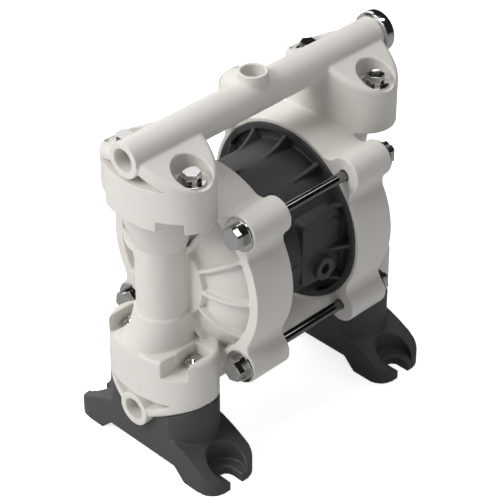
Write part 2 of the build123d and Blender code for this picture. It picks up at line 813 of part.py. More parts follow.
def half_foot_profile():
    """Side view of half a foot as closed edges, in Y and Z."""
    return [
        Line((0, 0), (foot_end_y, 0)),
        Line((foot_end_y, 0), (foot_end_y, foot_end_height)),
        ThreePointArc(
            (foot_end_y, foot_end_height),
            (foot_bulge_y, foot_bulge_z),
            (foot_shoulder_y, foot_shoulder_z),
        ),
        Line((foot_shoulder_y, foot_shoulder_z), (0, foot_shoulder_z)),
        Line((0, foot_shoulder_z), (0, 0)),
    ]


def make_foot():
    """Saddle foot on the +X side."""
    half = extrude(Plane.YZ * make_face(half_foot_profile()), foot_half_x, both=True)
    legs = Pos(column_x, 0, 0) * (half + mirror(half, about=Plane.XZ))
    corners = legs.edges().filter_by(Axis.Z)
    corners = corners.filter_by(lambda edge: abs(edge.center().Y) > foot_end_y - 1)
    legs = fillet(corners, foot_end_round)
    slab = block(
        column_x - foot_half_x, column_x + foot_half_x, -end_half_y, end_half_y, 0, joint_bottom
    )
    core = oval_z(end_half_x, end_half_y, 0, joint_bottom, column_x) & slab
    under = turn_over(
        roof_prism(column_x - end_half_x - 2, column_x + end_half_x + 2, 0, saddle_gap)
    )
    body = legs + (core - under)
    reach = (column_x - end_half_x - 2, column_x + end_half_x + 2)
    body -= bar_x(tube_radius + saddle_gap, *reach, 0, inlet_z)
    arch = [
        (-arch_foot_y, 0),
        (-arch_top_y, arch_height),
        (arch_top_y, arch_height),
        (arch_foot_y, 0),
    ]
    body -= prism_x(arch, *reach)
    plug_top = inlet_z + pocket_floor_drop - saddle_gap
    for side_y in (-1, 1):
        y = side_y * bolt_y
        body += bar_z(pocket_radius - saddle_gap, arch_height, plug_top, column_x, y)
        body -= bar_z(foot_access_radius, 0, foot_bolt_seat, column_x, y)
        body -= bar_z(bolt_hole, foot_bolt_seat, plug_top, column_x, y)
        slot_y = side_y * (slot_inner_y + slot_radius)
        end_y = side_y * (foot_end_y + 1)
        body -= bar_z(scoop_radius, scoop_floor, joint_bottom, column_x, slot_y)
        body -= bar_z(slot_radius, 0, scoop_floor + 1, column_x, slot_y)
        body -= block(
            column_x - slot_radius, column_x + slot_radius, slot_y, end_y, 0, foot_end_height + 4
        )
    return body


def make_plug():
    """Threaded plug in the +X end of the top tube, with a round head and a hexagon socket."""
    thread_end = port_face_x - port_depth + 2
    plug = bar_x(port_bore - thread_gap, thread_end, port_face_x, 0, outlet_z)
    head = bar_x(plug_head_radius, port_face_x, port_face_x + plug_head_length, 0, outlet_z)
    head = chamfer(head.edges().filter_by(GeomType.CIRCLE).sort_by(Axis.X)[-1], 0.8)
    socket = extrude(
        RegularPolygon(plug_socket_flats / 2, 6, major_radius=False), plug_socket_depth
    )
    end = port_face_x + plug_head_length - plug_socket_depth
    return plug + head - lie_along_x(socket, end, 0, outlet_z)


def make_side_plug():
    """Threaded plug in the top manifold's far-side port."""
    start = side_boss_reach - boss_port_depth + 1
    plug = bar_y(port_bore - thread_gap, start, side_boss_reach, 0, outlet_z)
    end = side_boss_reach + side_plug_head
    plug += bar_y(port_bore + 2, side_boss_reach, end, 0, outlet_z)
    socket = extrude(
        RegularPolygon(plug_socket_flats / 2, 6, major_radius=False), plug_socket_depth
    )
    return plug - Pos(0, end - plug_socket_depth, outlet_z) * Rot(-90, 0, 0) * socket


def upright_bolt(length):
    """Hexagon bolt that hangs down from its head's seat on the XY plane."""
    shank = Pos(0, 0, -length / 2) * Cylinder(bolt_radius, length)
    shank = chamfer(shank.edges().filter_by(GeomType.CIRCLE).sort_by(Axis.Z)[0], 0.6)
    return hexagon(head_flats, head_height) + shank


def square_nut_shape():
    """Square nut that stands on the XY plane."""
    nut = extrude(Rectangle(square_nut, square_nut), square_nut_thickness)
    return nut - Pos(0, 0, square_nut_thickness / 2) * Cylinder(
        bolt_radius + thread_gap, square_nut_thickness
    )


def make_manifold_fasteners():
    """Bolts, washers and square nuts of the top joint."""
    seat = outlet_z - pocket_floor_drop + washer_thickness
    nut_top = joint_top - slot_root
    nut_bottom = nut_top - square_nut_thickness
    length = seat - nut_bottom + bolt_past_nut
    bolts, washers, nuts = [], [], []
    for x, y in both_bolts():
        bolts.append(Pos(x, y, seat) * upright_bolt(length))
        ring = tube_of(washer_radius, bolt_hole, washer_thickness)
        washers.append(Pos(x, y, seat - washer_thickness) * ring)
        nuts.append(Pos(x, y, nut_bottom) * square_nut_shape())
    return group(bolts), group(washers), group(nuts)


def make_foot_fasteners():
    """Bolts, washers and square nuts that hold the feet and the suction manifold."""
    seat = foot_bolt_seat - washer_thickness
    nut_bottom = joint_bottom + slot_root
    length = nut_bottom + square_nut_thickness + bolt_past_nut - seat
    bolts, washers, nuts = [], [], []
    for x, y in both_bolts():
        bolts.append(Pos(x, y, seat) * Rot(180, 0, 0) * upright_bolt(length))
        ring = tube_of(foot_access_radius - 0.5, bolt_hole, washer_thickness)
        washers.append(Pos(x, y, seat) * ring)
        nuts.append(Pos(x, y, nut_bottom) * square_nut_shape())
    return group(bolts), group(washers), group(nuts)


def make_tie_bolts():
    """Long bolts through both caps, their heads on the -X side."""
    nut_end = rod_seat_x + rod_head_height
    length = rod_seat_x + nut_end + rod_thread_end
    shank = Pos(0, 0, length / 2) * Cylinder(rod_radius, length)
    shank = chamfer(shank.edges().filter_by(GeomType.CIRCLE).sort_by(Axis.Z)[-1], 0.7)
    bolts, washers, nuts = [], [], []
    for y, z in rod_places():
        head = Rot(180, 0, 0) * hexagon(rod_head_flats, rod_head_height)
        bolts.append(lie_along_x(shank + head, -rod_seat_x, y, z))
        nut = hexagon(rod_head_flats, rod_head_height)
        nut -= Pos(0, 0, rod_head_height / 2) * Cylinder(
            rod_radius + thread_gap, rod_head_height
        )
        nuts.append(lie_along_x(nut, rod_seat_x, y, z))
        for side in (-1, 1):
            ring = tube_of(rod_washer_radius, rod_hole, washer_thickness)
            washers.append(lie_along_x(ring, side * cap_front_x, y, z, side))
    return group(bolts), group(washers), group(nuts)


def make_valve_screws():
    """Screws that hold the valve body to the centre body."""
    end = valve_span()[1]
    screw = Rot(-90, 0, 0) * small_screw(valve_depth + gasket_thickness + 7)
    return group([Pos(x, end, z) * screw for x, z in valve_corners()])


def make_end_cap_screws():
    """Screws that hold the valve's end caps."""
    screws = []
    for side in (-1, 1):
        end = side * (valve_half_x + end_cap_thickness)
        for y, z in cap_screw_places():
            screws.append(lie_along_x(small_screw(small_screw_length), end, y, z, side))
    return group(screws)


def make_spool_seals():
    """Rings in the end caps' mouths that stop the spool and seal the bore."""
    rings = []
    for side in (-1, 1):
        end = side * valve_half_x
        start = end - side * 0.9
        ring = bar_x(spool_bore - 0.02, start, end, spool_y, valve_z)
        rings.append(ring - bar_x(spool_bore - 2, start, end, spool_y, valve_z))
    return group(rings)


def on_side(shape, side):
    """A +X piece as it is, or mirrored to the -X side."""
    return shape if side > 0 else mirror(shape, about=Plane.YZ)


def build_nodes():
    """Every node by name."""
    nodes = {
        "discharge_manifold": make_discharge_manifold(),
        "suction_manifold": make_suction_manifold(),
        "centre_body": make_centre_body(),
        "shaft": make_shaft(),
        "pilot_rod": make_pilot_rod(),
        "valve_body": make_valve_body(),
        "valve_gasket": make_valve_gasket(),
        "valve_spool": make_valve_spool(),
        "spool_seals": make_spool_seals(),
        "exhaust_muffler": make_muffler(),
        "valve_screws": make_valve_screws(),
        "end_cap_screws": make_end_cap_screws(),
        "discharge_port_plug": make_plug(),
        "side_port_plug": make_side_plug(),
    }
    nodes["suction_port_plug"] = turn_over(nodes["discharge_port_plug"])
    nodes["suction_side_plug"] = turn_over(nodes["side_port_plug"])
    paired = {
        "fluid_cap": make_fluid_cap(),
        "foot": make_foot(),
        "diaphragm": make_diaphragm(),
        "inner_plate": make_inner_plate(),
        "outer_plate": make_outer_plate(),
        "shaft_bush": make_shaft_bush(),
        "pilot_bush": make_pilot_bush(),
        "valve_end_cap": make_valve_end_cap(),
        "suction_seat": make_seat(suction_seat_top),
        "discharge_seat": make_seat(discharge_seat_top),
        "suction_ball": Pos(column_x, 0, suction_ball_z) * Sphere(ball_radius),
        "discharge_ball": Pos(column_x, 0, discharge_ball_z) * Sphere(ball_radius),
    }
    for name, shape in paired.items():
        for word, side in sides.items():
            nodes[f"{name}_{word}"] = on_side(shape, side)
    seals = [make_seat_seal(top) for top in (suction_seat_top, discharge_seat_top)]
    nodes["seat_o_rings"] = group([on_side(seal, s) for seal in seals for s in (-1, 1)])
    nodes["shaft_seals"] = group([on_side(make_shaft_seal(), s) for s in (-1, 1)])
    trio = make_tie_bolts()
    nodes["tie_bolts"], nodes["tie_bolt_washers"], nodes["tie_bolt_nuts"] = trio
    trio = make_manifold_fasteners()
    nodes["manifold_bolts"], nodes["manifold_washers"], nodes["manifold_nuts"] = trio
    trio = make_foot_fasteners()
    nodes["foot_bolts"], nodes["foot_washers"], nodes["foot_nuts"] = trio
    return nodes


os.makedirs("parts", exist_ok=True)
for node, shape in build_nodes().items():
    export_step(shape, f"parts/{node}.step")
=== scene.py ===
"""Looks of an air operated diaphragm pump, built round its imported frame."""

import json
import logging
import math
from dataclasses import dataclass, field
from enum import Enum
from typing import Callable, Iterable

import bmesh
import bpy
from mathutils import Matrix, Vector

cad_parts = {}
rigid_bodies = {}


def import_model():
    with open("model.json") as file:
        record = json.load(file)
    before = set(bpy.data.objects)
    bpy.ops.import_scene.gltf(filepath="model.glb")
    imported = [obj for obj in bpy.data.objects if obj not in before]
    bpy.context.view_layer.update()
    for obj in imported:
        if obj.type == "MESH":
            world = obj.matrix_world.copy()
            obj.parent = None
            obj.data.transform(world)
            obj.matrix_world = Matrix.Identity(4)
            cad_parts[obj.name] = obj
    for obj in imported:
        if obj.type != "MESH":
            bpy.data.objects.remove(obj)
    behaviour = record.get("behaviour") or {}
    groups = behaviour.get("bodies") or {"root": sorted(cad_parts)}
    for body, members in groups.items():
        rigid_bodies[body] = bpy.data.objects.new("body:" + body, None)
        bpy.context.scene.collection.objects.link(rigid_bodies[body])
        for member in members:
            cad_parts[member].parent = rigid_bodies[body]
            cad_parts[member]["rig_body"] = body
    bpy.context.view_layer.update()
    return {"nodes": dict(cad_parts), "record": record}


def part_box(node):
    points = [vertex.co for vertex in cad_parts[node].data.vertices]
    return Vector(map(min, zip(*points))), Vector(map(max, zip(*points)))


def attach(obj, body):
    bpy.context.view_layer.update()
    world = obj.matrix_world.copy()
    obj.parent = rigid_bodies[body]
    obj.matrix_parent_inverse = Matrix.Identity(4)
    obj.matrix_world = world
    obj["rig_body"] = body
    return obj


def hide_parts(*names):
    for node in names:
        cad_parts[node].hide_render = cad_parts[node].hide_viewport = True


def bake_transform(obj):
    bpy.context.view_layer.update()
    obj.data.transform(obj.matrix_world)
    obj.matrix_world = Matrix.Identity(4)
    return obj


LOG = logging.getLogger("diaphragm_pump")
CAD_DOUBLES = 0.000002

for leftover in list(bpy.data.objects):
    bpy.data.objects.remove(leftover)
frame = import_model()

Colour = tuple[float, float, float]
WHITE_LIGHT: Colour = (1.0, 1.0, 1.0)


def rgba(colour: Colour) -> tuple[float, float, float, float]:
    """Return a colour with full opacity."""
    return (*colour, 1.0)


class Value:
    """A shader socket that takes part in Python sums."""

    def __init__(self, graph: "Graph", socket: bpy.types.NodeSocket) -> None:
        """Wrap one output socket of a graph."""
        self.graph = graph
        self.socket = socket

    def __add__(self, other: "Value | float") -> "Value":
        """Return self + other."""
        return self.graph.math("ADD", self, other)

    def __radd__(self, other: float) -> "Value":
        """Return other + self."""
        return self.graph.math("ADD", other, self)

    def __sub__(self, other: "Value | float") -> "Value":
        """Return self - other."""
        return self.graph.math("SUBTRACT", self, other)

    def __rsub__(self, other: float) -> "Value":
        """Return other - self."""
        return self.graph.math("SUBTRACT", other, self)

    def __mul__(self, other: "Value | float") -> "Value":
        """Return self * other."""
        return self.graph.math("MULTIPLY", self, other)

    def __rmul__(self, other: float) -> "Value":
        """Return other * self."""
        return self.graph.math("MULTIPLY", other, self)

    def __truediv__(self, other: "Value | float") -> "Value":
        """Return self / other."""
        return self.graph.math("DIVIDE", self, other)

    def __rtruediv__(self, other: float) -> "Value":
        """Return other / self."""
        return self.graph.math("DIVIDE", other, self)


class Graph:
    """The node tree of one material."""

    def __init__(self, tree: bpy.types.NodeTree) -> None:
        """Start from an empty tree."""
        self.tree = tree
        self.tree.nodes.clear()

    def node(self, kind: str, settings: dict, sockets: dict, output: int | str = 0) -> Value:
        """Add a node.

        Args:
            kind: The node's type, as Blender names it.
            settings: Its own properties, set first; "stops" fills a colour ramp.
            sockets: Values or links for its inputs, by name or number.
            output: Which output to hand back.

        Returns:
            The chosen output.
        """
        made = self.tree.nodes.new(kind)
        for key, setting in settings.items():
            if key == "stops":
                self.fill_ramp(made.color_ramp, setting)
            else:
                setattr(made, key, setting)
        for key, given in sockets.items():
            if isinstance(given, Value):
                self.tree.links.new(given.socket, made.inputs[key])
            else:
                made.inputs[key].default_value = given
        return Value(self, made.outputs[output]) if made.outputs else Value(self, None)

    @staticmethod
    def fill_ramp(ramp: bpy.types.ColorRamp, stops: tuple[tuple[float, Colour], ...]) -> None:
        """Set a ramp's stops, each a position and a colour."""
        while len(ramp.elements) < len(stops):
            ramp.elements.new(0.5)
        for element, (position, colour) in zip(ramp.elements, stops):
            element.position = position
            element.color = rgba(colour)

    def math(self, operation: str, left: "Value | float", right: "Value | float") -> Value:
        """Return one sum of two sockets or numbers."""
        return self.node("ShaderNodeMath", {"operation": operation}, {0: left, 1: right})

    def noise(self, place: Value, scale: float, detail: float = 3.0) -> Value:
        """Return soft noise between 0 and 1 over a place."""
        sockets = {"Vector": place, "Scale": scale, "Detail": detail}
        return self.node("ShaderNodeTexNoise", {}, sockets, "Fac")

    def place(self) -> Value:
        """Return the point's place in the pump's own frame, in metres."""
        return self.node("ShaderNodeTexCoord", {}, {}, "Object")

    def blend(self, share: Value, low: Colour | Value, high: Colour | Value) -> Value:
        """Return a colour between two by a share."""
        low, high = (end if isinstance(end, Value) else rgba(end) for end in (low, high))
        return self.node("ShaderNodeMix", {"data_type": "RGBA"}, {0: share, 6: low, 7: high}, 2)

    def bump(self, height: Value, distance: float, strength: float = 1.0) -> Value:
        """Return a normal that follows a height, over a distance in metres."""
        sockets = {"Height": height, "Distance": distance, "Strength": strength}
        return self.node("ShaderNodeBump", {}, sockets, "Normal")

    def finish(self, sockets: dict) -> None:
        """End the tree in a Principled surface with these inputs."""
        surface = self.node("ShaderNodeBsdfPrincipled", {}, sockets, "BSDF")
        self.node("ShaderNodeOutputMaterial", {}, {"Surface": surface})


def new_material(name: str) -> tuple[bpy.types.Material, Graph]:
    """Make a material that uses nodes.

    Args:
        name: The material's name.

    Returns:
        The material and its empty graph.
    """
    material = bpy.data.materials.new(name)
    material.use_nodes = True
    return material, Graph(material.node_tree)


def scaled(colour: Colour, factor: float) -> Colour:
    """Return a colour made lighter or darker."""
    return tuple(min(1.0, part * factor) for part in colour)


@dataclass(frozen=True)
class MouldedPlastic:
    """Injection-moulded plastic with a fine spark-eroded grain."""

    name: str
    colour: Colour
    roughness: float
    grain: float = 2600.0
    depth: float = 0.00003
    mottling: float = 0.03
    specular: float = 0.5
    cloud: float = 18.0
    flow: float = 55.0
    flow_sheen: float = 0.12
    grain_sheen: float = 0.1

    def material(self) -> bpy.types.Material:
        """Build the finish.

        Returns:
            The material.
        """
        made, graph = new_material(self.name)
        place = graph.place()
        cloud = graph.noise(place, self.cloud, 4.0)
        grain = graph.noise(place, self.grain, 2.0)
        flow = graph.noise(place, self.flow, 2.0)
        dark, light = (scaled(self.colour, 1 + s * self.mottling) for s in (-1, 1))
        graph.finish({
            "Base Color": graph.blend(cloud, dark, light),
            "Roughness": (
                self.roughness + (flow - 0.5) * self.flow_sheen + (grain - 0.5) * self.grain_sheen
            ),
            "Specular IOR Level": self.specular,
            "Normal": graph.bump(grain + flow * 2.0, self.depth),
        })
        return made


@dataclass(frozen=True)
class PolishedSteel:
    """Bright steel with faint polishing marks and a little tarnish."""

    name: str
    colour: Colour
    roughness: float
    marks: float = 900.0
    streaks: float = 0.1
    relief: float = 0.0000006
    cloud: float = 60.0
    tarnish: float = 0.9

    def material(self) -> bpy.types.Material:
        """Build the finish.

        Returns:
            The material.
        """
        made, graph = new_material(self.name)
        place = graph.place()
        marks = graph.noise(place, self.marks, 5.0)
        cloud = graph.noise(place, self.cloud)
        graph.finish({
            "Base Color": graph.blend(cloud, scaled(self.colour, self.tarnish), self.colour),
            "Metallic": 1.0,
            "Roughness": self.roughness + (marks - 0.5) * self.streaks,
            "Normal": graph.bump(marks, self.relief),
        })
        return made


@dataclass(frozen=True)
class TurnedMetal:
    """Metal with the fine rings that a lathe leaves about the shaft's line."""

    name: str
    colour: Colour
    roughness: float
    centre: tuple[float, float, float]
    pitch: float = 0.0004
    relief: float = 0.00001
    ring_sheen: float = 0.04
    cloud: float = 120.0
    cloud_sheen: float = 0.1
    tarnish: float = 0.88

    def material(self) -> bpy.types.Material:
        """Build the finish.

        Returns:
            The material.
        """
        made, graph = new_material(self.name)
        place = graph.place()
        sockets = {"Vector": place, "Location": tuple(-part for part in self.centre)}
        centred = graph.node("ShaderNodeMapping", {"vector_type": "POINT"}, sockets)
        flat = graph.node(
            "ShaderNodeVectorMath", {"operation": "MULTIPLY"}, {0: centred, 1: (0, 1, 1)}
        )
        reach = graph.node("ShaderNodeVectorMath", {"operation": "LENGTH"}, {0: flat}, "Value")
        rings = graph.math("SINE", reach * (2 * math.pi / self.pitch), 0.0)
        cloud = graph.noise(place, self.cloud, 4.0)
        graph.finish({
            "Base Color": graph.blend(cloud, scaled(self.colour, self.tarnish), self.colour),
            "Metallic": 1.0,
            "Roughness": self.roughness + cloud * self.cloud_sheen + rings * self.ring_sheen,
            "Normal": graph.bump(rings, self.relief),
        })
        return made


@dataclass(frozen=True)
class Elastomer:
    """Moulded rubber with a dusty bloom."""

    name: str
    colour: Colour
    roughness: float = 0.62
    bloom: float = 90.0
    bloom_lift: float = 1.8
    bloom_sheen: float = 0.15
    grain: float = 3200.0
    relief: float = 0.00002

    def material(self) -> bpy.types.Material:
        """Build the finish.

        Returns:
            The material.
        """
        made, graph = new_material(self.name)
        place = graph.place()
        bloom = graph.noise(place, self.bloom, 5.0)
        grain = graph.noise(place, self.grain, 2.0)
        graph.finish({
            "Base Color": graph.blend(bloom, self.colour, scaled(self.colour, self.bloom_lift)),
            "Roughness": self.roughness + bloom * self.bloom_sheen,
            "Normal": graph.bump(grain, self.relief),
        })
        return made


@dataclass(frozen=True)
class SinteredGrains:
    """Pressed and sintered grains, as in a bronze bush or a porous silencer."""

    name: str
    colour: Colour
    metallic: float
    roughness: float
    grains: float = 1500.0
    gap_shade: float = 0.45
    gap_sheen: float = 0.2
    relief: float = 0.00012

    def material(self) -> bpy.types.Material:
        """Build the finish.

        Returns:
            The material.
        """
        made, graph = new_material(self.name)
        place = graph.place()
        cells = graph.node(
            "ShaderNodeTexVoronoi", {}, {"Vector": place, "Scale": self.grains}, "Distance"
        )
        graph.finish({
            "Base Color": graph.blend(cells, self.colour, scaled(self.colour, self.gap_shade)),
            "Metallic": self.metallic,
            "Roughness": self.roughness + cells * self.gap_sheen,
            "Normal": graph.bump(1.0 - cells, self.relief),
        })
        return made


class Finish(Enum):
    """Every finish on the pump."""

    WHITE = MouldedPlastic("white_polypropylene", (0.745, 0.718, 0.677), 0.42)
    DRUM = MouldedPlastic("dark_body_plastic", (0.05, 0.05, 0.052), 0.5, 1500.0, 0.00005, 0.08)
    FOOT = MouldedPlastic("dark_foot_plastic", (0.066, 0.066, 0.068), 0.5, 1500.0, 0.00005, 0.08)
    VALVE = MouldedPlastic("black_valve_plastic", (0.03, 0.03, 0.032), 0.45, 1800.0, 0.00005)
    SEAT = MouldedPlastic("seat_plastic", (0.70, 0.69, 0.65), 0.5)
    PLATE = MouldedPlastic("plate_plastic", (0.72, 0.71, 0.68), 0.45)
    BALL = MouldedPlastic("white_fluoroplastic", (0.82, 0.82, 0.79), 0.28, 900.0, 0.00001, 0.02)
    BRIGHT = PolishedSteel("polished_stainless", (0.58, 0.575, 0.56), 0.08)
    # Same steel as the bolt heads, its colour darkened as painted dark reflection on the tie rods
    SHANK_PAINTED_DARK = PolishedSteel("shank_steel_painted_dark", (0.22, 0.22, 0.22), 0.12, 500.0)
    CHROME = PolishedSteel("bright_plating", (0.72, 0.72, 0.72), 0.06, 500.0)
    SHAFT = PolishedSteel("ground_shaft_steel", (0.68, 0.68, 0.69), 0.2, 2400.0)
    ALUMINIUM = TurnedMetal("turned_aluminium", (0.76, 0.76, 0.77), 0.3, (0.0, 0.0, 0.1225))
    RUBBER = Elastomer("seal_rubber", (0.018, 0.018, 0.018))
    DIAPHRAGM = Elastomer("diaphragm_elastomer", (0.05, 0.046, 0.043), 0.55)
    BRONZE = SinteredGrains("sintered_bronze", (0.50, 0.33, 0.15), 1.0, 0.4)
    SILENCER = SinteredGrains("porous_silencer", (0.46, 0.47, 0.48), 0.0, 0.75, 1100.0)


class Wardrobe:
    """Makes each finish once and puts it on pieces."""

    def __init__(self) -> None:
        """Start with no material made."""
        self.made: dict[Finish, bpy.types.Material] = {}

    def dress(self, piece: bpy.types.Object, finish: Finish) -> None:
        """Give a piece one finish all over.

        Args:
            piece: The object to dress.
            finish: The finish it takes.
        """
        if finish not in self.made:
            self.made[finish] = finish.value.material()
        piece.data.materials.clear()
        piece.data.materials.append(self.made[finish])


def body_of_node(node: str) -> str:
    """Return the body that a CAD node rides on."""
    return frame["nodes"][node]["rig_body"]


def slot_of_node(node: str) -> str:
    """Return the material slot that the record gives a CAD node."""
    for part in frame["record"]["subparts"]:
        if part["node"] == node:
            return part["material_slot"]
    raise KeyError(node)


def link_mesh(name: str, mesh: bpy.types.Mesh) -> bpy.types.Object:
    """Put a mesh into the scene.

    Args:
        name: The object's name.
        mesh: Its mesh.

    Returns:
        The object, at the origin.
    """
    made = bpy.data.objects.new(name, mesh)
    bpy.context.scene.collection.objects.link(made)
    return made


def settle(piece: bpy.types.Object) -> None:
    """Apply a piece's modifiers to its mesh.

    Args:
        piece: The object whose modifiers are applied.
    """
    graph = bpy.context.evaluated_depsgraph_get()
    mesh = bpy.data.meshes.new_from_object(piece.evaluated_get(graph))
    piece.modifiers.clear()
    old = piece.data
    piece.data = mesh
    bpy.data.meshes.remove(old)


def merged_copy(node: str, name: str) -> bpy.types.Object:
    """Copy a CAD node and merge its doubles.

    Args:
        node: The CAD node.
        name: The copy's name.

    Returns:
        The copy.
    """
    mesh = frame["nodes"][node].data.copy()
    work = bmesh.new()
    work.from_mesh(mesh)
    bmesh.ops.remove_doubles(work, verts=work.verts, dist=CAD_DOUBLES)
    work.to_mesh(mesh)
    work.free()
    return link_mesh(name, mesh)


def stand_for(piece: bpy.types.Object, node: str) -> None:
    """Let a new piece take a CAD node's place and body, look up the node's slot, and report it.

    Args:
        piece: The new piece.
        node: The CAD node.
    """
    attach(piece, body_of_node(node))
    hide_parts(node)
    slot_of_node(node)
    LOG.info("%s: %d faces", piece.name, len(piece.data.polygons))


@dataclass
class SoftZone:
    """A region of a moulding whose edges are rounder than the rest."""

    inside: Callable[[Vector], bool]
    passes: int


@dataclass
class OvalJoint:
    """A flat joint inside an oval wall, kept crisp while the rest is rounded."""

    height: float
    centre_x: float
    half_x: float
    half_y: float
    keep: float = 0.0012
    snap: float = 0.0005
    margin: float = 1.04

    def near(self, place: Vector) -> bool:
        """Tell whether a point is close enough to the joint to be kept from the rounding."""
        return abs(place.z - self.height) < self.keep and self.reach(place) < self.margin

    def reach(self, place: Vector) -> float:
        """Return how far out a point lies: 1 is on the oval wall."""
        return math.hypot((place.x - self.centre_x) / self.half_x, place.y / self.half_y)

    def true_up(self, verts: Iterable[bmesh.types.BMVert]) -> None:
        """Bring points near the joint's plane and its oval wall exactly onto them.

        Args:
            verts: The points to look at.
        """
        for vert in verts:
            if not self.near(vert.co):
                continue
            if abs(vert.co.z - self.height) < self.snap:
                vert.co.z = self.height
            reach = self.reach(vert.co)
            away = Vector((vert.co.x - self.centre_x, vert.co.y, 0.0))
            if abs(reach - 1) * away.length < self.snap:
                vert.co += away * (1 / reach - 1)


@dataclass
class Moulding:
    """A plastic moulding: a CAD node with its edges and inner corners rounded."""

    node: str
    finish: Finish
    voxel: float = 0.0006
    passes: int = 1
    joints: tuple[float, ...] = ()
    oval_joint: OvalJoint | None = None
    zones: list[SoftZone] = field(default_factory=list)
    most_triangles: int = 190000
    spare: float = 0.003
    joint_reach: float = 0.0001
    sharp_angle: float = 50.0

    def build(self, wardrobe: Wardrobe) -> bpy.types.Object:
        """Make the rounded piece and put it in the node's place.

        Args:
            wardrobe: Gives the piece its finish.

        Returns:
            The new piece.
        """
        piece = merged_copy(self.node, f"{self.node}_moulding")
        self.lengthen(piece)
        voxels = piece.modifiers.new("voxels", "REMESH")
        voxels.mode = "VOXEL"
        voxels.voxel_size = self.voxel
        settle(piece)
        work = bmesh.new()
        work.from_mesh(piece.data)
        free = list(work.verts)
        if self.oval_joint:
            free = [vert for vert in free if not self.oval_joint.near(vert.co)]
        self.soften(work, free, self.passes)
        for zone in self.zones:
            chosen = [vert for vert in free if zone.inside(vert.co)]
            self.soften(work, chosen, zone.passes)
        if self.oval_joint:
            self.oval_joint.true_up(work.verts)
        self.trim(work)
        work.to_mesh(piece.data)
        work.free()
        triangles = sum(len(face.vertices) - 2 for face in piece.data.polygons)
        if triangles > self.most_triangles:
            thinner = piece.modifiers.new("thinner", "DECIMATE")
            thinner.ratio = self.most_triangles / triangles
            settle(piece)
        piece.data.shade_smooth()
        piece.data.set_sharp_from_angle(angle=math.radians(self.sharp_angle))
        wardrobe.dress(piece, self.finish)
        stand_for(piece, self.node)
        return piece

    def lengthen(self, piece: bpy.types.Object) -> None:
        """Draw the piece out past each flat joint, so that the rounding misses the joint.

        Args:
            piece: The copy of the CAD node.
        """
        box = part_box(self.node)
        middle = (box[0][2] + box[1][2]) / 2
        for height in self.joints:
            way = 1 if height > middle else -1
            for vert in piece.data.vertices:
                if abs(vert.co.z - height) < self.joint_reach:
                    vert.co.z += way * self.spare

    def trim(self, work: bmesh.types.BMesh) -> None:
        """Cut the spare length off flat at each joint.

        Args:
            work: The rounded mesh.
        """
        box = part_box(self.node)
        middle = (box[0][2] + box[1][2]) / 2
        for height in self.joints:
            way = 1 if height > middle else -1
            cut = bmesh.ops.bisect_plane(
                work,
                geom=[*work.verts, *work.edges, *work.faces],
                plane_co=(0, 0, height),
                plane_no=(0, 0, way),
                clear_outer=True,
            )
            rim = [item for item in cut["geom_cut"] if isinstance(item, bmesh.types.BMEdge)]
            bmesh.ops.triangle_fill(work, edges=rim, use_beauty=True, normal=(0, 0, way))

    @staticmethod
    def soften(work: bmesh.types.BMesh, verts: list, passes: int) -> None:
        """Round a mesh by moving points towards their neighbours.

        Args:
            work: The mesh.
            verts: The points that may move.
            passes: How many times they move.
        """
        for _ in range(passes):
            bmesh.ops.smooth_vert(
                work, verts=verts, factor=0.5, use_axis_x=True, use_axis_y=True, use_axis_z=True
            )


@dataclass
class Machined:
    """A machined or turned piece: a CAD node with a small bevel on its edges."""

    node: str
    finish: Finish
    bevel: float = 0.0002
    segments: int = 2
    sharp_angle: float = 28.0

    def build(self, wardrobe: Wardrobe) -> bpy.types.Object:
        """Make the bevelled piece and put it in the node's place.

        Args:
            wardrobe: Gives the piece its finish.

        Returns:
            The new piece.
        """
        piece = merged_copy(self.node, f"{self.node}_machined")
        work = bmesh.new()
        work.from_mesh(piece.data)
        bmesh.ops.dissolve_limit(
            work, angle_limit=math.radians(0.5), verts=work.verts, edges=work.edges
        )
        work.to_mesh(piece.data)
        work.free()
        edge = piece.modifiers.new("edge", "BEVEL")
        edge.width = self.bevel
        edge.segments = self.segments
        edge.limit_method = "ANGLE"
        edge.angle_limit = math.radians(self.sharp_angle)
        edge.use_clamp_overlap = True
        edge.harden_normals = True
        settle(piece)
        piece.data.shade_smooth()
        piece.data.set_sharp_from_angle(angle=math.radians(self.sharp_angle))
        wardrobe.dress(piece, self.finish)
        stand_for(piece, self.node)
        return piece


Outline = list[tuple[float, float]]


